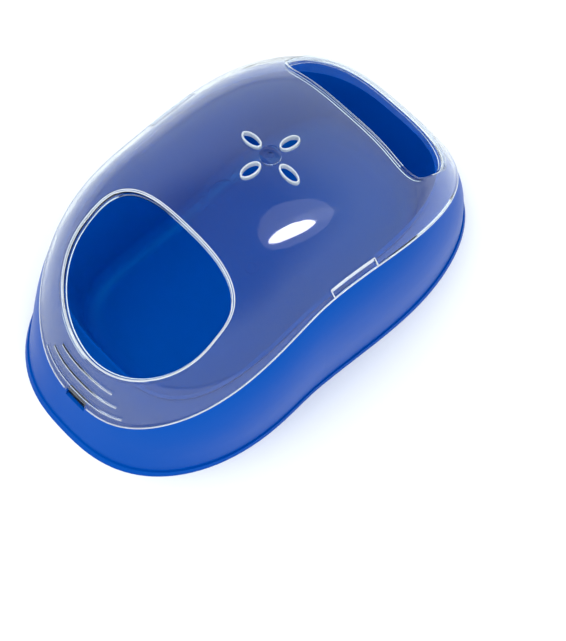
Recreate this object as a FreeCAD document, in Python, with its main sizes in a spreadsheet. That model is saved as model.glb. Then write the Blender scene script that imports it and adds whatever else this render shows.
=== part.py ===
"""Hooded litter box: an opaque base tray and a clear dome hood that lifts straight off.

Frame: millimetres, +Z up, the entrance faces -Y, the origin is the centre of the footprint on the floor.
One outside form runs from the foot flange to the top of the dome.  A curved parting line, low at the
front and rear and high at the sides, splits it into the tray below and the hood above.
"""

import FreeCAD
import Part

import math
import os

SIZES = {
    # outside form
    "length": 400.0,
    "half_width": 123.4,
    "front_reach": 177.4,
    "dome_height": 168.5,
    "front_power": 2.53,
    "rear_power": 3.25,
    "top_power": 2.06,
    "taper": 0.026,
    "taper_span": 200.0,
    "waist": 0.062,
    "waist_station": 5.0,
    "waist_spread": 70.0,
    "front_lean": 0.442,
    "rear_lean": 0.072,
    "top_drift": 4.0,
    "side_rise": 4.07,
    "front_rise": 5.38,
    "rear_rise": 2.37,
    "crown_power": 1.77,
    # parting line, heights along the length
    "seam_front": 24.0,
    "seam_chest": 76.0,
    "seam_side": 116.0,
    "seam_haunch": 103.0,
    "seam_rear": 35.0,
    "seam_gap": 0.9,
    # tray
    "tray_wall": 2.6,
    "ledge_thick": 3.0,
    "flange_height": 4.0,
    "flange_step": 2.6,
    "flange_draft": 0.8,
    "foot_blend": 45.0,
    "floor_bottom": 1.2,
    "floor_top": 4.0,
    "floor_fillet": 12.0,
    "floor_half_width": 82.0,
    "floor_front": 110.0,
    "floor_rear": 183.0,
    "floor_power": 3.6,
    "mouth_level": 130.0,
    "mouth_half_width": 106.0,
    "mouth_front": 135.0,
    "mouth_rear": 219.0,
    "mouth_power": 2.4,
    "rim_rise": 2.0,
    "notch_width": 21.0,
    "notch_depth": 12.0,
    "notch_height": 8.5,
    "notch_start": 12.0,
    "notch_base": 34.0,
    # hood
    "hood_wall": 2.4,
    "hood_proud": 0.8,
    "lip_width": 2.3,
    "lip_width_low": 1.6,
    "lip_depth": 1.6,
    "lip_proud": 1.3,
    "hatch_lip_width": 1.6,
    "hatch_lip_width_low": 1.2,
    "door_centre": -75.0,
    "door_half_width": 70.0,
    "door_front": 62.0,
    "door_rear": 42.0,
    "door_front_power": 2.0,
    "door_rear_power": 3.4,
    "door_apex": -30.0,
    "hatch_centre": 158.0,
    "hatch_half_width": 75.0,
    "hatch_front": 23.5,
    "hatch_rear": 39.5,
    "hatch_front_power": 5.0,
    "hatch_rear_power": 2.6,
    "hatch_bow": 4.0,
    "hatch_apex": 60.0,
    "vent_ring": 20.5,
    "vent_length": 17.0,
    "vent_breadth": 8.0,
    "vent_collar": 1.1,
    "boss_station": 54.0,
    "boss_radius": 8.5,
    "boss_top": 165.2,
    "boss_base": 161.8,
    "dimple_radius": 2.4,
    "dimple_depth": 1.1,
    "grip_first": 5.5,
    "grip_pitch": 6.2,
    "grip_width": 0.9,
    "grip_proud": 0.6,
    "grip_root": 1.2,
    "grip_half_length": 44.0,
    "grip_shrink": 7.5,
    "window_start": 22.0,
    "window_length": 44.0,
    "window_sill": 1.6,
    "window_height": 6.6,
    "window_depth": 1.2,
}

LOFT_STEPS = (0.0, 0.12, 0.24, 0.36, 0.48, 0.6, 0.71, 0.8, 0.87, 0.925, 0.965, 0.985, 0.997)
TUB_STEPS = (0.0, 0.6, 2.0, 4.0, 7.0, 11.0, 17.0, 27.0, 42.0, 62.0, 90.0)
OUTLINE_POINTS = 36
SEAM_STATIONS = (-175.0, -110.0, -10.0, 100.0, 225.0)
SKIRT_SHARE = 0.85
TUB_DEGREE = 3
BOW_SHARPNESS = 8
CONE_FOOT = 0.55
CONE_HEAD = 1.2
GRIPS = 3
REACH = 300.0
OVERRUN = 10.0

doc = FreeCAD.newDocument("litter_box")
sheet = doc.addObject("Spreadsheet::Sheet", "Sizes")
for row, (alias, value) in enumerate(SIZES.items(), start=1):
    sheet.set("A%d" % row, alias)
    sheet.set("B%d" % row, str(value))
    sheet.setAlias("B%d" % row, alias)
doc.recompute()


def size(alias):
    """A driving dimension as the sheet holds it."""
    return float(sheet.get(alias))


# Stations along the length count from a point near the waist; this moves them to the footprint's centre.
SHIFT = size("front_reach") - size("length") / 2.0
REAR_REACH = size("length") - size("front_reach")
ALONG = "Sizes.front_reach - Sizes.length / 2"


# ---------------------------------------------------------------- outlines and lofts

def pinch(y, taper, waist):
    """How much an outline widens or narrows at a station."""
    offset = (y - size("waist_station")) / size("waist_spread")
    return 1.0 + taper * y / size("taper_span") - waist * math.exp(-offset ** 2)


def outline_point(angle, half_width, front, rear, front_power, rear_power, taper=0.0, waist=0.0, bow=0.0):
    """A point of a rounded outline; angle 0 is +X, -90 degrees is the front end."""
    across = math.cos(angle)
    along = math.sin(angle)
    power = front_power if along < 0.0 else rear_power
    reach = front if along < 0.0 else rear
    y = math.copysign(reach * abs(along) ** (2.0 / power), along)
    x = math.copysign(half_width * abs(across) ** (2.0 / power), across) * pinch(y, taper, waist)
    if along < 0.0:
        y += bow * abs(along) ** BOW_SHARPNESS
    return x, y


def outline_points(centre, **shape):
    """Points of an outline in plan."""
    points = []
    for step in range(OUTLINE_POINTS):
        x, y = outline_point(2.0 * math.pi * step / OUTLINE_POINTS, **shape)
        points.append((x, y + centre + SHIFT))
    return points


def closed_wire(points):
    curve = Part.BSplineCurve()
    curve.interpolate(Points=points, PeriodicFlag=True)
    return Part.Wire([curve.toShape()])


def level_wire(height, centre, **shape):
    """An outline as a smooth wire at one height."""
    return closed_wire([FreeCAD.Vector(x, y, height) for x, y in outline_points(centre, **shape)])


def form_shape(height, grow):
    """The outside form's outline at a height, grown outward by an even amount."""
    level = height / (size("dome_height") + grow)

    def shrink(lean, rise):
        return (1.0 - lean * level) * (1.0 - level ** rise) ** (1.0 / size("crown_power"))

    def blend(power):
        return power + (size("top_power") - power) * level ** 3

    return {
        "centre": size("top_drift") * level ** 2,
        "half_width": (size("half_width") + grow) * shrink(0.0, size("side_rise")),
        "front": (size("front_reach") + grow) * shrink(size("front_lean"), size("front_rise")),
        "rear": (REAR_REACH + grow) * shrink(size("rear_lean"), size("rear_rise")),
        "front_power": blend(size("front_power")),
        "rear_power": blend(size("rear_power")),
        "taper": size("taper") * (1.0 - level),
        "waist": size("waist") * (1.0 - level),
    }


def inside_form(x, y, height):
    """Whether a point in plan lies inside the outside form's outline at a height."""
    shape = form_shape(height, 0.0)
    station = y - shape["centre"] - SHIFT
    end = "front" if station < 0.0 else "rear"
    share = abs(station) / shape[end]
    if share >= 1.0:
        return False
    power = shape[end + "_power"]
    width = shape["half_width"] * (1.0 - share ** power) ** (1.0 / power)
    return abs(x) < width * pinch(station, shape["taper"], shape["waist"])


def dome_point(x, y):
    """The point of the outside form above a point in plan."""
    low = 0.0
    high = size("dome_height")
    while high - low > 0.01:
        middle = (low + high) / 2.0
        if inside_form(x, y, middle):
            low = middle
        else:
            high = middle
    return FreeCAD.Vector(x, y, low)


def form_solid(grow, share=1.0, foot_step=0.0):
    """The outside form as a solid, up to a share of its height, pulled in a little at the foot."""
    sections = []
    for step in LOFT_STEPS:
        height = step * share * (size("dome_height") + grow)
        pull = foot_step * max(0.0, 1.0 - height / size("foot_blend"))
        sections.append(level_wire(height, **form_shape(height, grow - pull)))
    return Part.makeLoft(sections, True, False)


def tub_section(height, grow):
    """The tub's outline at a height; it widens and rounds from its floor to its mouth."""
    rise = (height - size("floor_top")) / (size("mouth_level") - size("floor_top"))

    def between(name):
        return size("floor_" + name) + (size("mouth_" + name) - size("floor_" + name)) * rise

    return level_wire(
        height,
        0.0,
        half_width=between("half_width") + grow,
        front=between("front") + grow,
        rear=between("rear") + grow,
        front_power=between("power"),
        rear_power=between("power"),
        waist=size("waist"),
    )


def tub_solid(grow, bottom):
    """The tub from a bottom with a rounded edge to the level of its open mouth."""
    radius = size("floor_fillet") + grow
    sections = []
    for step in TUB_STEPS:
        inset = radius - math.sqrt(radius ** 2 - max(0.0, radius - step) ** 2)
        sections.append(tub_section(bottom + step, grow - inset))
    sections.append(tub_section(size("mouth_level"), grow))
    return Part.makeLoft(sections, True, False, False, TUB_DEGREE)


def seam_curve(rise):
    """The parting line seen from the side, raised by an amount."""
    heights = [size("seam_" + place) for place in ("front", "chest", "side", "haunch", "rear")]
    points = [
        FreeCAD.Vector(-REACH, station + SHIFT, height + rise)
        for station, height in zip(SEAM_STATIONS, heights)
    ]
    curve = Part.BSplineCurve()
    curve.interpolate(points)
    return curve.toShape()


def below_seam(rise, floor=-OVERRUN):
    """Everything under the parting line raised by an amount, down to a level floor."""
    top = seam_curve(rise)
    start, end = top.Vertexes[0].Point, top.Vertexes[-1].Point
    corners = [
        end,
        FreeCAD.Vector(end.x, REACH, end.z),
        FreeCAD.Vector(end.x, REACH, floor),
        FreeCAD.Vector(start.x, -REACH, floor),
        FreeCAD.Vector(start.x, -REACH, start.z),
        start,
    ]
    sides = Part.makePolygon(corners).Edges
    face = Part.Face(Part.Wire([top] + sides))
    return face.extrude(FreeCAD.Vector(2.0 * REACH, 0.0, 0.0))


def seam_band(low, high):
    """The layer between two heights above the parting line."""
    return below_seam(high).cut(below_seam(low, floor=-2.0 * OVERRUN))


def opening_cone(name, grow, grow_low, low_end):
    """A cone through an opening's edge, so that its cut walls stand square to the dome.

    Its tip would be on the floor under the opening.  The edge is an outline in plan laid on the dome.
    """
    grown = {
        "half_width": size(name + "_half_width") + grow,
        "front": size(name + "_front") + (grow_low if low_end == "front" else grow),
        "rear": size(name + "_rear") + (grow_low if low_end == "rear" else grow),
        "front_power": size(name + "_front_power"),
        "rear_power": size(name + "_rear_power"),
        "bow": size("hatch_bow") if name == "hatch" else 0.0,
    }
    tip = FreeCAD.Vector(0.0, size(name + "_apex") + SHIFT, 0.0)
    rays = [dome_point(x, y) - tip for x, y in outline_points(size(name + "_centre"), **grown)]
    middle = FreeCAD.Vector(0.0, 0.0, 0.0)
    for ray in rays:
        middle += ray
    middle.normalize()
    reach = max(ray.dot(middle) for ray in rays)
    ends = []
    for share in (CONE_FOOT, CONE_HEAD):
        ends.append(closed_wire([tip + ray * (share * reach / ray.dot(middle)) for ray in rays]))
    return Part.makeLoft(ends, True, True)


def door_cone(grow, grow_low):
    return opening_cone("door", grow, grow_low, "front")


def hatch_cone(grow, grow_low):
    return opening_cone("hatch", grow, grow_low, "rear")


# ---------------------------------------------------------------- document helpers

def feature(name, shape):
    """A form with no primitive or sketch of its own."""
    item = doc.addObject("Part::Feature", name)
    item.Shape = shape
    return item


def combine(kind, name, shapes):
    item = doc.addObject(kind, name)
    item.Shapes = shapes
    return item


def cut(name, base, tool):
    item = doc.addObject("Part::Cut", name)
    item.Base = base
    item.Tool = tool
    return item


def bind(item, **expressions):
    """Bind an object's sizes and place to the sheet; two underscores stand for a dot in a path."""
    for path, expression in expressions.items():
        item.setExpression(path.replace("__", "."), expression)


def build_notch():
    """The finger notch at the middle of the front, through the skirt's edge and the hood's foot."""
    notch = doc.addObject("Part::Box", "finger_notch")
    bind(
        notch,
        Length="Sizes.notch_width",
        Width="Sizes.notch_depth",
        Height="Sizes.notch_height",
        Placement__Base__x="-Sizes.notch_width / 2",
        Placement__Base__y="-Sizes.length / 2 + Sizes.notch_start",
        Placement__Base__z="Sizes.notch_base",
    )
    return notch


# ---------------------------------------------------------------- tray

def build_tray(notch):
    step = size("flange_step")
    wall = size("tray_wall")
    skirt = cut(
        "skirt_block",
        combine("Part::MultiCommon", "skirt_blank", [
            feature("skirt_form", form_solid(0.0, SKIRT_SHARE, step)),
            feature("under_seam", below_seam(0.0)),
        ]),
        notch,
    )
    low_edge = level_wire(0.0, **form_shape(0.0, 0.0))
    high_edge = level_wire(size("flange_height"), **form_shape(size("flange_height"), -size("flange_draft")))
    flange = feature("foot_flange", Part.makeLoft([low_edge, high_edge], True, True))
    hollow = combine("Part::MultiCommon", "skirt_hollow", [
        feature("hollow_form", form_solid(-wall, SKIRT_SHARE, step)),
        feature("under_ledge", below_seam(-size("ledge_thick"))),
    ])
    tub = combine("Part::MultiCommon", "tub_block", [
        feature("tub_form", tub_solid(wall, size("floor_bottom"))),
        feature("under_rim", below_seam(size("rim_rise"))),
    ])
    inside = feature("tub_inside", tub_solid(0.0, size("floor_top")))
    shell = cut("skirt_shell", combine("Part::MultiFuse", "skirt_and_flange", [skirt, flange]), hollow)
    whole = combine("Part::MultiFuse", "tray_outer", [shell, tub])
    tray = cut("tray_body", whole, inside)
    tray.Label = "tray"
    return tray


# ---------------------------------------------------------------- hood

def build_vent(name, across, along, grow=""):
    """One oval upright block, long side pointing away from the boss."""
    oval = doc.addObject("Part::Ellipse", name + "_outline")
    bind(oval, MajorRadius="Sizes.vent_length / 2" + grow, MinorRadius="Sizes.vent_breadth / 2" + grow)
    oval.Placement.Rotation = FreeCAD.Rotation(FreeCAD.Vector(0, 0, 1), 90.0 * abs(along))
    bind(
        oval,
        Placement__Base__x="Sizes.vent_ring * %d" % across,
        Placement__Base__y="%s + Sizes.boss_station + Sizes.vent_ring * %d" % (ALONG, along),
        Placement__Base__z="Sizes.dome_height / 2",
    )
    tool = doc.addObject("Part::Extrusion", name)
    tool.Base = oval
    tool.DirMode = "Custom"
    tool.Dir = FreeCAD.Vector(0, 0, 1)
    tool.Solid = True
    bind(tool, LengthFwd="Sizes.dome_height")
    return tool


def build_post(name, radius, bottom, top):
    """An upright round post at the boss."""
    post = doc.addObject("Part::Cylinder", name)
    bind(
        post,
        Radius="Sizes." + radius,
        Height="(%s) - (%s)" % (top, bottom),
        Placement__Base__y="%s + Sizes.boss_station" % ALONG,
        Placement__Base__z=bottom,
    )
    return post


def build_grip(index):
    """The zone of one grip rib, a curved line that runs above the parting line at the front."""
    name = "grip_%d" % (index + 1)
    low = size("grip_first") + index * size("grip_pitch")
    band = feature(name + "_band", seam_band(low, low + size("grip_width")))
    block = doc.addObject("Part::Box", name + "_block")
    half = "(Sizes.grip_half_length - %d * Sizes.grip_shrink)" % index
    bind(block, Length="2 * " + half, Width="Sizes.grip_half_length", Height="Sizes.dome_height")
    bind(block, Placement__Base__x="-" + half, Placement__Base__y="-Sizes.length / 2")
    return combine("Part::MultiCommon", name + "_zone", [band, block])


def build_window(side, skin):
    """The cutter of one snap recess in the hood's outer skin, just above the parting line on a side."""
    name = "right" if side > 0 else "left"
    sill = size("window_sill")
    band = feature(name + "_window_band", seam_band(sill, sill + size("window_height")))
    block = doc.addObject("Part::Box", name + "_window_block")
    bind(block, Length="Sizes.half_width", Width="Sizes.window_length", Height="Sizes.dome_height")
    bind(
        block,
        Placement__Base__x="Sizes.half_width * (%d - 1) / 2" % (2 * side),
        Placement__Base__y="%s + Sizes.window_start" % ALONG,
    )
    return combine("Part::MultiCommon", name + "_window", [band, block, skin])


def build_hood(notch):
    proud = size("hood_proud")
    inner = proud - size("hood_wall")
    door_lip = (size("lip_width"), size("lip_width_low"))
    hatch_lip = (size("hatch_lip_width"), size("hatch_lip_width_low"))
    dome_outside = feature("dome_outside", form_solid(proud))
    raised_outside = feature("raised_outside", form_solid(proud + size("lip_proud")))
    dome = cut("dome_shell", dome_outside, feature("dome_inside", form_solid(inner)))
    lip_skin = cut("lip_skin", raised_outside, feature("lip_root", form_solid(inner - size("lip_depth"))))
    grip_skin = cut(
        "grip_skin",
        feature("grip_outside", form_solid(proud + size("grip_proud"))),
        feature("grip_root", form_solid(proud - size("grip_root"))),
    )
    recess_skin = cut(
        "recess_skin",
        raised_outside,
        feature("recess_root", form_solid(proud - size("window_depth"))),
    )
    vents = {"front_vent": (0, -1), "rear_vent": (0, 1), "left_vent": (-1, 0), "right_vent": (1, 0)}
    collars = [
        build_vent(name + "_collar", across, along, " + Sizes.vent_collar")
        for name, (across, along) in vents.items()
    ]
    lip_zones = combine("Part::MultiFuse", "lip_zones", [
        feature("door_lip_zone", door_cone(*door_lip)),
        feature("hatch_lip_zone", hatch_cone(*hatch_lip)),
    ] + collars)
    grip_zones = combine("Part::MultiFuse", "grip_zones", [build_grip(index) for index in range(GRIPS)])
    solid = combine("Part::MultiFuse", "hood_blank", [
        dome,
        combine("Part::MultiCommon", "lip_work", [lip_skin, lip_zones]),
        combine("Part::MultiCommon", "grip_work", [grip_skin, grip_zones]),
        build_post("boss", "boss_radius", "Sizes.boss_base", "Sizes.boss_top"),
    ])
    openings = [
        feature("below_hood", below_seam(size("seam_gap"))),
        feature("door", door_cone(0.0, 0.0)),
        feature("hatch", hatch_cone(0.0, 0.0)),
        build_window(1, recess_skin),
        build_window(-1, recess_skin),
        build_post("dimple", "dimple_radius", "Sizes.boss_top - Sizes.dimple_depth", "Sizes.dome_height"),
        notch,
    ]
    openings += [build_vent(name, across, along) for name, (across, along) in vents.items()]
    hood = cut("hood_body", solid, combine("Part::MultiFuse", "hood_openings", openings))
    hood.Label = "hood"
    return hood


# ---------------------------------------------------------------- build, check and write

finger_notch = build_notch()
parts = [build_tray(finger_notch), build_hood(finger_notch)]
doc.recompute()

for item in doc.Objects:
    if "Invalid" in item.State or "Error" in item.State:
        raise RuntimeError("%s failed: %s" % (item.Name, item.State))
for item in parts:
    if item.Shape.isNull() or not item.Shape.isValid():
        raise RuntimeError("%s has no valid shape" % item.Label)
    if len(item.Shape.Solids) != 1:
        raise RuntimeError("%s is %d solids" % (item.Label, len(item.Shape.Solids)))

os.makedirs("parts", exist_ok=True)
for item in parts:
    item.Shape.exportStep("parts/%s.step" % item.Label)
    box = item.Shape.BoundBox
    print("%s: volume %.0f mm3, x %.1f..%.1f, y %.1f..%.1f, z %.1f..%.1f" % (
        item.Label, item.Shape.Volume, box.XMin, box.XMax, box.YMin, box.YMax, box.ZMin, box.ZMax))
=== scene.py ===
"""Hooded litter box: the looks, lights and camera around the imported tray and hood."""

import math

import bpy
from mathutils import Matrix, Vector
from mathutils.bvhtree import BVHTree


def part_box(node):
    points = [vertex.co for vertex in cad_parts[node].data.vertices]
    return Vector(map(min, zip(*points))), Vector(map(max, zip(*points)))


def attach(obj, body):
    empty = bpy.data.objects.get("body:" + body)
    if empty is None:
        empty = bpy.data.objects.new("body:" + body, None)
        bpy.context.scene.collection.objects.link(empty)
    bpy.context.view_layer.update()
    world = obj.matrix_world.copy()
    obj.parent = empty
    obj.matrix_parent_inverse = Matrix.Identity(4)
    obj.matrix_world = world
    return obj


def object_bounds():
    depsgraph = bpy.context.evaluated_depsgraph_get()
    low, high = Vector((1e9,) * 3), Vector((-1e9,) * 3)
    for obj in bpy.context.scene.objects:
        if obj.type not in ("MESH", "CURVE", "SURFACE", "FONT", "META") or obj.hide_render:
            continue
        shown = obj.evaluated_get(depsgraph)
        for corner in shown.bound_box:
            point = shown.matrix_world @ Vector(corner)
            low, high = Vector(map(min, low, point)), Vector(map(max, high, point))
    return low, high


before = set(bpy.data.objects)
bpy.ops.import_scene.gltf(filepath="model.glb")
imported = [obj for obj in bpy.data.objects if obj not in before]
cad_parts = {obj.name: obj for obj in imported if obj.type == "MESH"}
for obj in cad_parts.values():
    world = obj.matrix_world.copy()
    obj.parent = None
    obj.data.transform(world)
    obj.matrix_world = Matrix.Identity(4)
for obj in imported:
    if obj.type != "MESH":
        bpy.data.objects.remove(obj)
cad_low, cad_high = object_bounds()

MM = 0.001
UP = Vector((0.0, 0.0, 1.0))
BEYOND = 2.0 * max(cad_high)

# Sizes below are in millimetres. Stations along the length count from a point near the waist, and
# STATION moves them to the footprint's centre, where the frame has its origin.
STATION = -22.6

# The hood's openings in plan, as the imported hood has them.
DOOR = {
    "centre": -75.0, "half_width": 70.0, "front": 62.0, "rear": 42.0, "powers": (2.0, 3.4), "bow": 0.0,
}
HATCH = {
    "centre": 158.0, "half_width": 75.0, "front": 23.5, "rear": 39.5, "powers": (5.0, 2.6), "bow": 4.0,
}
BOW_SHARPNESS = 8
OPENING_STEPS = 220

# The lips' corner lines, painted as bright highlights: how far in from the lip's edges, how thick, and how
# deep they sit.
LIP_WIDTH = 2.3
LIP_WIDTH_LOW = 1.6
LINE_INSET = 0.5
LINE_INSET_LOW = 0.4
LINE_HALF = 0.45
LINE_SINK = 0.4

# Vents and their collars.
VENT_RING = 20.5
VENT_LENGTH = 17.0
VENT_BREADTH = 8.0
VENT_COLLAR = 1.1
COLLAR_DEPTH = 5.3
COLLAR_HALF = 0.8
COLLAR_PROUD = 0.15
COLLAR_STEPS = 64
BOSS_STATION = 54.0

# The hood's lower edge and the finger notch that breaks it.
NOTCH_WIDTH = 21.0
NOTCH_MARGIN = 1.0
ABOVE_EDGE = 0.1
EDGE_TOLERANCE = 0.01
FOOT_STEPS = 360
FOOT_HALF = 0.6
FOOT_RISE = 0.4
FOOT_SPARE = 0.15
FOOT_DEPTH = 0.5

# Grip ribs across the front.
GRIPS = 3
GRIP_FIRST = 5.05
GRIP_PITCH = 6.2
GRIP_HALF_LENGTH = 44.0
GRIP_SHRINK = 7.5
GRIP_SINK = 0.15
GRIP_HALF = 0.35
GRIP_DEPTH = 0.25
SEARCH_STEP = 0.25

# Snap recesses in the hood's sides.
WINDOW_STATIONS = (21.5, 66.5)
WINDOW_BOTTOM = 0.6
WINDOW_TOP = 7.4
WINDOW_HALF = 0.5
WINDOW_DEPTH = 0.35
RAMP_RISE = 5.4
RAMP_INSET = 1.0
RAMP_HALF = 1.3
RAMP_DEPTH = 0.8
HALF_SPAN_STEPS = 20

# The gate mark on the tub's floor.
GATE_STATION = 31.0
GATE_RADIUS = 5.0
GATE_HALF = 0.8
GATE_DEPTH = 0.7
GATE_STEPS = 48

# How beads are built: points around the section, its roundness, and neighbours that smooth its turn.
SECTION_POINTS = 20
SECTION_POWER = 0.6
SMOOTH_REACH = 4

# Materials.
PLASTIC_IOR = 1.5
NOISE_LOW = 0.3
NOISE_HIGH = 0.7

# Studio.
FLOOR_REACH = 6.0
FLOOR_DROP = 0.2


# ---------------------------------------------------------------- node helpers

def new_material(name):
    """An empty node material with its output and one Principled shader."""
    material = bpy.data.materials.new(name)
    material.use_nodes = True
    tree = material.node_tree
    tree.nodes.clear()
    output = tree.nodes.new("ShaderNodeOutputMaterial")
    shader = tree.nodes.new("ShaderNodeBsdfPrincipled")
    tree.links.new(shader.outputs["BSDF"], output.inputs["Surface"])
    return material, tree, shader, output


def noise(tree, scale, detail=2.0):
    """Noise in the part's own metres, so its grain has a real size."""
    place = tree.nodes.new("ShaderNodeTexCoord")
    texture = tree.nodes.new("ShaderNodeTexNoise")
    texture.inputs["Scale"].default_value = scale
    texture.inputs["Detail"].default_value = detail
    tree.links.new(place.outputs["Object"], texture.inputs["Vector"])
    return texture.outputs["Fac"]


def remap(tree, value, low, high):
    """The middle of a noise spread over another range."""
    node = tree.nodes.new("ShaderNodeMapRange")
    node.inputs["From Min"].default_value = NOISE_LOW
    node.inputs["From Max"].default_value = NOISE_HIGH
    node.inputs["To Min"].default_value = low
    node.inputs["To Max"].default_value = high
    tree.links.new(value, node.inputs["Value"])
    return node.outputs["Result"]


def two_colours(tree, value, first, second):
    """The middle of a noise spread between two colours."""
    ramp = tree.nodes.new("ShaderNodeValToRGB")
    ramp.color_ramp.elements[0].position = NOISE_LOW
    ramp.color_ramp.elements[0].color = (*first, 1.0)
    ramp.color_ramp.elements[1].position = NOISE_HIGH
    ramp.color_ramp.elements[1].color = (*second, 1.0)
    tree.links.new(value, ramp.inputs["Fac"])
    return ramp.outputs["Color"]


def bump(tree, value, strength, distance):
    """A surface normal rippled by a noise, at a strength and a height in metres."""
    node = tree.nodes.new("ShaderNodeBump")
    node.inputs["Strength"].default_value = strength
    node.inputs["Distance"].default_value = distance
    tree.links.new(value, node.inputs["Height"])
    return node.outputs["Normal"]


def let_lamps_through(tree, shader, output, tint):
    """Clear plastic throws no black shadow: rays from lamps pass with a tint."""
    rays = tree.nodes.new("ShaderNodeLightPath")
    through = tree.nodes.new("ShaderNodeBsdfTransparent")
    through.inputs["Color"].default_value = (*tint, 1.0)
    mix = tree.nodes.new("ShaderNodeMixShader")
    tree.links.new(rays.outputs["Is Shadow Ray"], mix.inputs["Fac"])
    tree.links.new(shader.outputs["BSDF"], mix.inputs[1])
    tree.links.new(through.outputs["BSDF"], mix.inputs[2])
    tree.links.new(mix.outputs["Shader"], output.inputs["Surface"])


# ---------------------------------------------------------------- materials

def blue_plastic():
    """Glossy moulded plastic, a strong even blue with a faint flow and a fine skin."""
    material, tree, shader, _ = new_material("blue_plastic")
    flow = noise(tree, 9.0, 3.0)
    tree.links.new(two_colours(tree, flow, (0.0, 0.06, 0.355), (0.0, 0.064, 0.375)),
                   shader.inputs["Base Color"])
    tree.links.new(remap(tree, noise(tree, 12.0, 2.0), 0.33, 0.36), shader.inputs["Roughness"])
    tree.links.new(bump(tree, noise(tree, 500.0, 1.0), 0.02, 0.0001), shader.inputs["Normal"])
    shader.inputs["IOR"].default_value = PLASTIC_IOR
    shader.inputs["Specular IOR Level"].default_value = 0.1
    shader.inputs["Specular Tint"].default_value = (0.0, 0.8, 1.0, 1.0)
    return material


def clear_plastic():
    """Clear moulded plastic with a faint blue cast and a faint ripple."""
    material, tree, shader, output = new_material("clear_plastic")
    shader.inputs["Base Color"].default_value = (0.9, 0.97, 1.0, 1.0)
    shader.inputs["Transmission Weight"].default_value = 1.0
    shader.inputs["IOR"].default_value = PLASTIC_IOR
    tree.links.new(remap(tree, noise(tree, 30.0, 3.0), 0.03, 0.07), shader.inputs["Roughness"])
    tree.links.new(bump(tree, noise(tree, 14.0, 2.0), 0.04, 0.001), shader.inputs["Normal"])
    let_lamps_through(tree, shader, output, (0.82, 0.86, 0.94))
    return material


def edge_highlight_plastic():
    """Painted highlight: the same plastic made whiter and less clear, so its cut edges, rims and rib crowns
    show the light they gather as bright lines.
    """
    material, tree, shader, output = new_material("edge_highlight_plastic")
    tree.links.new(two_colours(tree, noise(tree, 80.0), (0.8, 0.83, 0.87), (0.9, 0.92, 0.94)),
                   shader.inputs["Base Color"])
    shader.inputs["Transmission Weight"].default_value = 0.45
    shader.inputs["IOR"].default_value = PLASTIC_IOR
    tree.links.new(remap(tree, noise(tree, 120.0, 3.0), 0.16, 0.26), shader.inputs["Roughness"])
    let_lamps_through(tree, shader, output, (0.8, 0.82, 0.86))
    return material


def floor_card():
    """Matt white card with a faint tooth."""
    material, tree, shader, _ = new_material("floor_card")
    tree.links.new(two_colours(tree, noise(tree, 3.0), (0.93, 0.93, 0.93), (0.95, 0.95, 0.95)),
                   shader.inputs["Base Color"])
    shader.inputs["Roughness"].default_value = 0.9
    return material


BLUE = blue_plastic()
CLEAR = clear_plastic()
# EDGE is the painted-highlight plastic for the lip lines, vent rims, grip crowns, window beads and the
# hood's foot edge.
EDGE = edge_highlight_plastic()


def cover(node, material):
    """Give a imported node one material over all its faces."""
    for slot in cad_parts[node].material_slots:
        slot.material = material


cover("tray", BLUE)
cover("hood", CLEAR)


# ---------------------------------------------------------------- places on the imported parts

def rays_of(node):
    """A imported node's mesh as a tree for rays."""
    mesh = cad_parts[node].data
    return BVHTree.FromPolygons([v.co for v in mesh.vertices], [p.vertices for p in mesh.polygons])


HOOD = rays_of("hood")
TRAY = rays_of("tray")
TRAY_HEIGHTS = (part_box("tray")[0][2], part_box("tray")[1][2])


def on_dome(x, y):
    """The hood's top surface above a point in plan, and the way out of it."""
    place, normal, _, _ = HOOD.ray_cast(Vector((x, y, BEYOND)), -UP)
    return place, normal


def on_side(side, y, z):
    """The hood's outer surface at a station and height on one side."""
    place, normal, _, _ = HOOD.ray_cast(Vector((side * BEYOND, y, z)), Vector((-side, 0.0, 0.0)))
    return place, normal


def foot_point(turn):
    """The hood's lower edge on the outside at a turn about the upright axis."""
    outward = Vector((math.cos(turn), math.sin(turn), 0.0))
    low, high = TRAY_HEIGHTS
    while high - low > EDGE_TOLERANCE * MM:
        middle = (low + high) / 2.0
        start = outward * BEYOND + UP * middle
        hood_place, _, _, hood_far = HOOD.ray_cast(start, -outward)
        _, _, _, tray_far = TRAY.ray_cast(start, -outward)
        if hood_place is not None and (tray_far is None or hood_far < tray_far):
            high = middle
        else:
            low = middle
    place, normal, _, _ = HOOD.ray_cast(outward * BEYOND + UP * (high + ABOVE_EDGE * MM), -outward)
    return place, normal


FOOT = [foot_point(2.0 * math.pi * step / FOOT_STEPS) for step in range(FOOT_STEPS)]
FOOT_LINE = sorted((place.y, place.z) for place, _ in FOOT if place.x > NOTCH_WIDTH * MM)


def foot_height(y):
    """The height of the hood's lower edge at a station."""
    for (y0, z0), (y1, z1) in zip(FOOT_LINE, FOOT_LINE[1:]):
        if y0 <= y <= y1:
            return z0 + (z1 - z0) * (y - y0) / max(y1 - y0, 1e-9)
    return FOOT_LINE[0][1] if y < FOOT_LINE[0][0] else FOOT_LINE[-1][1]


def on_front(x, rise):
    """The hood's outer surface at a place across the front, so far above its lower edge."""
    height = min(z for _, z in FOOT_LINE)
    spot = None
    while spot is None or spot[0].z < foot_height(spot[0].y) + rise:
        height += SEARCH_STEP * MM
        place, normal, _, _ = HOOD.ray_cast(Vector((x, -BEYOND, height)), Vector((0.0, 1.0, 0.0)))
        spot = (place, normal) if place is not None else None
    return spot


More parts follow.
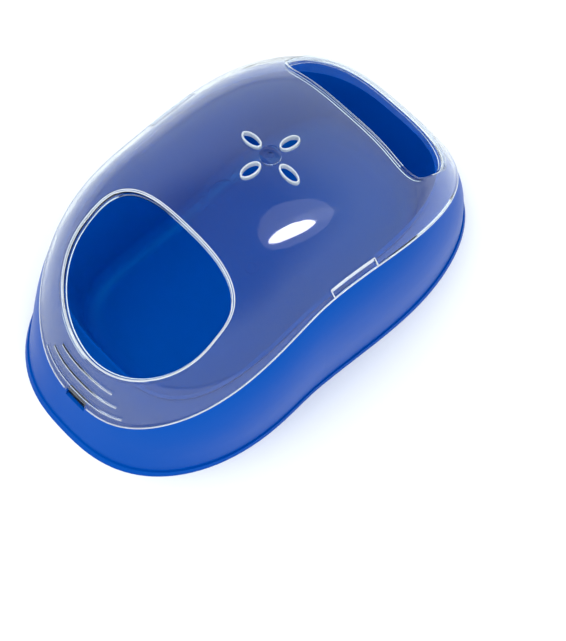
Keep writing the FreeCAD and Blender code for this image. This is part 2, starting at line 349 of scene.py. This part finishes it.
def plan_outline(shape, steps, grow, grow_low, low_end):
    """Points of an opening's outline in plan, in metres."""
    reach = {"front": shape["front"] + grow, "rear": shape["rear"] + grow}
    reach[low_end] += grow_low - grow
    points = []
    for step in range(steps):
        turn = 2.0 * math.pi * step / steps
        across = math.cos(turn)
        along = math.sin(turn)
        end, power = ("front", shape["powers"][0]) if along < 0.0 else ("rear", shape["powers"][1])
        y = math.copysign(reach[end] * abs(along) ** (2.0 / power), along)
        if end == "front":
            y += shape["bow"] * abs(along) ** BOW_SHARPNESS
        x = math.copysign((shape["half_width"] + grow) * abs(across) ** (2.0 / power), across)
        points.append((x * MM, (y + shape["centre"] + STATION) * MM))
    return even_out(points, steps)


def even_out(points, count):
    """The same closed outline with points at even distances."""
    loop = points + points[:1]
    marks = [0.0]
    for (x0, y0), (x1, y1) in zip(loop, loop[1:]):
        marks.append(marks[-1] + math.hypot(x1 - x0, y1 - y0))
    spaced = []
    index = 0
    for step in range(count):
        target = marks[-1] * step / count
        while marks[index + 1] < target:
            index += 1
        share = (target - marks[index]) / max(marks[index + 1] - marks[index], 1e-12)
        (x0, y0), (x1, y1) = loop[index], loop[index + 1]
        spaced.append((x0 + (x1 - x0) * share, y0 + (y1 - y0) * share))
    return spaced


# ---------------------------------------------------------------- mesh builders

def add_piece(name, vertices, faces, material, body):
    """A smooth mesh piece with one material that rides on a body."""
    mesh = bpy.data.meshes.new(name)
    mesh.from_pydata(vertices, [], faces)
    mesh.materials.append(material)
    mesh.update()
    for polygon in mesh.polygons:
        polygon.use_smooth = True
    piece = bpy.data.objects.new(name, mesh)
    bpy.context.scene.collection.objects.link(piece)
    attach(piece, body)
    return piece


def smooth_ways(ways, closed):
    """Directions averaged with their neighbours, so that a bead doesn't twist."""
    count = len(ways)
    result = []
    for index in range(count):
        total = Vector((0.0, 0.0, 0.0))
        for step in range(-SMOOTH_REACH, SMOOTH_REACH + 1):
            other = (index + step) % count if closed else min(max(index + step, 0), count - 1)
            total += ways[other]
        result.append(total.normalized())
    return result


def bead(name, places, ways, half_width, half_depth, closed, material, body="hood"):
    """A bead with a rounded section along a path; ways point out of the surface it sits in."""
    count = len(places)
    ways = smooth_ways(ways, closed)
    vertices = []
    for index, place in enumerate(places):
        ahead = places[(index + 1) % count] if closed or index < count - 1 else place
        behind = places[index - 1] if closed or index > 0 else place
        tangent = (ahead - behind).normalized()
        side = tangent.cross(ways[index]).normalized()
        out = side.cross(tangent).normalized()
        for step in range(SECTION_POINTS):
            turn = 2.0 * math.pi * step / SECTION_POINTS
            across = math.copysign(abs(math.cos(turn)) ** SECTION_POWER, math.cos(turn))
            away = math.copysign(abs(math.sin(turn)) ** SECTION_POWER, math.sin(turn))
            vertices.append(place + side * (half_width * across) + out * (half_depth * away))
    faces = []
    for index in range(count if closed else count - 1):
        first = index * SECTION_POINTS
        second = (index + 1) % count * SECTION_POINTS
        for step in range(SECTION_POINTS):
            after = (step + 1) % SECTION_POINTS
            faces.append((first + step, second + step, second + after, first + after))
    if not closed:
        faces.append(tuple(range(SECTION_POINTS)))
        faces.append(tuple(reversed(range((count - 1) * SECTION_POINTS, count * SECTION_POINTS))))
    return add_piece(name, vertices, faces, material, body)


# ---------------------------------------------------------------- pieces of the hood's edges

def add_opening_line(name, shape, grow, grow_low, low_end, rear_only=False):
    """One rounded corner line of an opening's lip, at an offset from the opening's edge, painted as a bright
    highlight.
    """
    places = []
    ways = []
    middle = (shape["centre"] + STATION) * MM
    for x, y in plan_outline(shape, OPENING_STEPS, grow, grow_low, low_end):
        if rear_only and y < middle:
            continue
        top, way = on_dome(x, y)
        places.append(top - way * (LINE_HALF * LINE_SINK * MM))
        ways.append(way)
    bead(name, places, ways, LINE_HALF * MM, LINE_HALF * MM, not rear_only, EDGE)


def add_vent_collar(name, across, along):
    """The rim around one vent, painted as a bright highlight."""
    half_long = (VENT_LENGTH + VENT_COLLAR) / 2.0
    half_short = (VENT_BREADTH + VENT_COLLAR) / 2.0
    centre_x = across * VENT_RING
    centre_y = along * VENT_RING + BOSS_STATION + STATION
    places = []
    for step in range(COLLAR_STEPS):
        turn = 2.0 * math.pi * step / COLLAR_STEPS
        away = half_long * math.cos(turn)
        aside = half_short * math.sin(turn)
        x = centre_x + (away if across else aside)
        y = centre_y + (away if along else aside)
        top, _ = on_dome(x * MM, y * MM)
        places.append(top - UP * (COLLAR_DEPTH / 2.0 * MM))
    half_depth = (COLLAR_DEPTH / 2.0 + COLLAR_PROUD) * MM
    bead(name, places, [UP] * COLLAR_STEPS, COLLAR_HALF * MM, half_depth, True, EDGE)


def add_foot_edge():
    """The hood's lower edge as a bright painted highlight line, an open bead that starts and ends beside the
    finger notch in front.
    """
    half = FOOT_HALF * MM
    rise = FOOT_RISE * MM
    near_notch = (NOTCH_WIDTH / 2.0 + NOTCH_MARGIN) * MM
    front = FOOT_STEPS * 3 // 4
    loop = FOOT[front:] + FOOT[:front]
    kept = [(place, way) for place, way in loop if place.y > 0.0 or abs(place.x) > near_notch]
    places = [place - way * half + UP * rise for place, way in kept]
    ways = [UP] * len(kept)
    bead("foot_edge", places, ways, half + FOOT_SPARE * MM, FOOT_DEPTH * MM, False, EDGE)


def add_grip_line(index):
    """The crown of one grip rib, across the front, painted as a thin bright highlight."""
    half_length = GRIP_HALF_LENGTH - index * GRIP_SHRINK
    rise = (GRIP_FIRST + index * GRIP_PITCH) * MM
    steps = 2 * HALF_SPAN_STEPS + 1
    spots = [on_front(half_length * MM * (step / HALF_SPAN_STEPS - 1.0), rise) for step in range(steps)]
    places = [place - way * (GRIP_SINK * MM) for place, way in spots]
    ways = [way for _, way in spots]
    bead("grip_line_%d" % (index + 1), places, ways, GRIP_HALF * MM, GRIP_DEPTH * MM, False, EDGE)


def window_spot(side, station, rise):
    """A place on the hood's side by its station and its height above the lower edge, in millimetres."""
    y = (station + STATION) * MM
    return on_side(side, y, foot_height(y) + rise * MM)


def add_window(side, word):
    """The frame and the sloping top of one snap recess, painted as bright highlights along its edges and
    top.
    """
    start, end = WINDOW_STATIONS
    corners = [(start, WINDOW_BOTTOM), (start, WINDOW_TOP), (end, WINDOW_TOP), (end, WINDOW_BOTTOM)]
    frame_spots = []
    for (y0, r0), (y1, r1) in zip(corners, corners[1:]):
        steps = max(3, int(max(abs(y1 - y0), abs(r1 - r0))))
        for step in range(steps):
            share = step / steps
            frame_spots.append(window_spot(side, y0 + (y1 - y0) * share, r0 + (r1 - r0) * share))
    frame_spots.append(window_spot(side, *corners[-1]))
    bead(word + "_window_frame", [place for place, _ in frame_spots], [way for _, way in frame_spots],
         WINDOW_HALF * MM, WINDOW_DEPTH * MM, False, EDGE)
    ramp = []
    last = 2 * HALF_SPAN_STEPS
    for step in range(last + 1):
        station = start + RAMP_INSET + (end - start - 2.0 * RAMP_INSET) * step / last
        ramp.append(window_spot(side, station, RAMP_RISE))
    bead(word + "_window_ramp", [place for place, _ in ramp], [way for _, way in ramp],
         RAMP_HALF * MM, RAMP_DEPTH * MM, False, EDGE)


def add_gate_mark():
    """The ring that the moulding gate leaves on the tub's floor."""
    places = []
    for step in range(GATE_STEPS):
        turn = 2.0 * math.pi * step / GATE_STEPS
        x = GATE_RADIUS * math.cos(turn) * MM
        y = (GATE_STATION + STATION + GATE_RADIUS * math.sin(turn)) * MM
        places.append(TRAY.ray_cast(Vector((x, y, BEYOND)), -UP)[0])
    bead("gate_mark", places, [UP] * GATE_STEPS, GATE_HALF * MM, GATE_DEPTH * MM, True, BLUE,
         "tray")


add_opening_line("entrance_lip_inner", DOOR, LINE_INSET, LINE_INSET_LOW, "front")
add_opening_line("entrance_lip_outer", DOOR, LIP_WIDTH - LINE_INSET, LIP_WIDTH_LOW - LINE_INSET_LOW, "front")
add_opening_line("hatch_lip_line", HATCH, LINE_INSET, LINE_INSET_LOW, "rear", rear_only=True)
for grip in range(GRIPS):
    add_grip_line(grip)
add_window(1, "right")
add_window(-1, "left")
add_gate_mark()
for vent, across, along in (("front", 0, -1), ("rear", 0, 1), ("left", -1, 0), ("right", 1, 0)):
    add_vent_collar(vent + "_vent_collar", across, along)
add_foot_edge()


# ---------------------------------------------------------------- studio

def add_floor():
    """A wide white sheet just under the object."""
    reach = FLOOR_REACH
    mesh = bpy.data.meshes.new("floor")
    corners = [(-reach, -reach, 0.0), (reach, -reach, 0.0), (reach, reach, 0.0), (-reach, reach, 0.0)]
    mesh.from_pydata(corners, [], [(0, 1, 2, 3)])
    mesh.materials.append(floor_card())
    floor = bpy.data.objects.new("floor", mesh)
    floor.location.z = cad_low[2] - FLOOR_DROP * MM
    bpy.context.scene.collection.objects.link(floor)


def add_lamp(name, towards, distance, width, depth, radiance, seen, turn=0.0):
    """An area lamp that looks at the middle of the object, either seen in gloss only or felt only."""
    light = bpy.data.lights.new(name, "AREA")
    light.shape = "ELLIPSE" if seen else "RECTANGLE"
    light.size = width
    light.size_y = depth
    light.energy = radiance * math.pi * width * depth
    lamp = bpy.data.objects.new(name, light)
    direction = Vector(towards).normalized()
    lamp.location = Vector((0.0, 0.0, cad_high[2] / 2.0)) + direction * distance
    aim = direction.to_track_quat("Z", "Y").to_matrix() @ Matrix.Rotation(math.radians(turn), 3, "Z")
    lamp.rotation_euler = aim.to_euler()
    lamp.visible_diffuse = not seen
    lamp.visible_glossy = seen
    lamp.visible_transmission = False
    lamp.visible_camera = False
    bpy.context.scene.collection.objects.link(lamp)


def add_world():
    """White walls that fade to a dim ceiling."""
    world = bpy.data.worlds.new("studio")
    world.use_nodes = True
    tree = world.node_tree
    place = tree.nodes.new("ShaderNodeTexCoord")
    split = tree.nodes.new("ShaderNodeSeparateXYZ")
    fade = tree.nodes.new("ShaderNodeMapRange")
    fade.interpolation_type = "SMOOTHSTEP"
    fade.inputs["From Min"].default_value = 0.5
    fade.inputs["From Max"].default_value = 0.9
    fade.inputs["To Min"].default_value = 1.05
    fade.inputs["To Max"].default_value = 0.4
    tree.links.new(place.outputs["Generated"], split.inputs["Vector"])
    tree.links.new(split.outputs["Z"], fade.inputs["Value"])
    backdrop = tree.nodes["Background"]
    backdrop.inputs["Color"].default_value = (0.87, 0.96, 1.0, 1.0)
    tree.links.new(fade.outputs["Result"], backdrop.inputs["Strength"])
    bpy.context.scene.world = world


def add_camera():
    """Looks down at the entrance from the right front."""
    azimuth = math.radians(45.91)
    elevation = math.radians(65.92)
    roll = math.radians(0.18)
    distance = 1.3771
    aim = Vector((0.0490, -0.0022, -0.0094))
    back = Vector((
        math.sin(azimuth) * math.cos(elevation),
        -math.cos(azimuth) * math.cos(elevation),
        math.sin(elevation),
    ))
    right = Vector((math.cos(azimuth), math.sin(azimuth), 0.0))
    up = back.cross(right)
    turn = Matrix((right, up, back)).transposed().to_4x4()
    data = bpy.data.cameras.new("camera")
    data.sensor_width = 36.0
    data.lens = 92.66
    data.clip_end = 20.0
    camera = bpy.data.objects.new("camera", data)
    camera.matrix_world = Matrix.Translation(aim + back * distance) @ turn @ Matrix.Rotation(roll, 4, "Z")
    bpy.context.scene.collection.objects.link(camera)
    bpy.context.scene.camera = camera


add_floor()
add_world()
add_lamp("sky_box", (-0.1, 0.1, 1.0), 2.2, 3.0, 3.0, 1.7, seen=False)
add_lamp("front_wall", (0.25, -1.0, 0.45), 1.8, 2.4, 1.6, 0.7, seen=False)
add_lamp("right_wall", (1.0, -0.1, 0.45), 1.8, 2.4, 1.6, 0.5, seen=False)
add_lamp("left_wall", (-1.0, -0.2, 0.45), 1.8, 2.4, 1.6, 0.05, seen=False)
add_lamp("window_box", (0.36, 0.40, 0.84), 1.2, 0.16, 0.36, 20.0, seen=True, turn=25.0)
add_lamp("window_glow", (0.30, 0.45, 0.84), 1.2, 0.55, 0.6, 0.9, seen=True)
add_camera()
bpy.context.scene.view_settings.view_transform = "Standard"
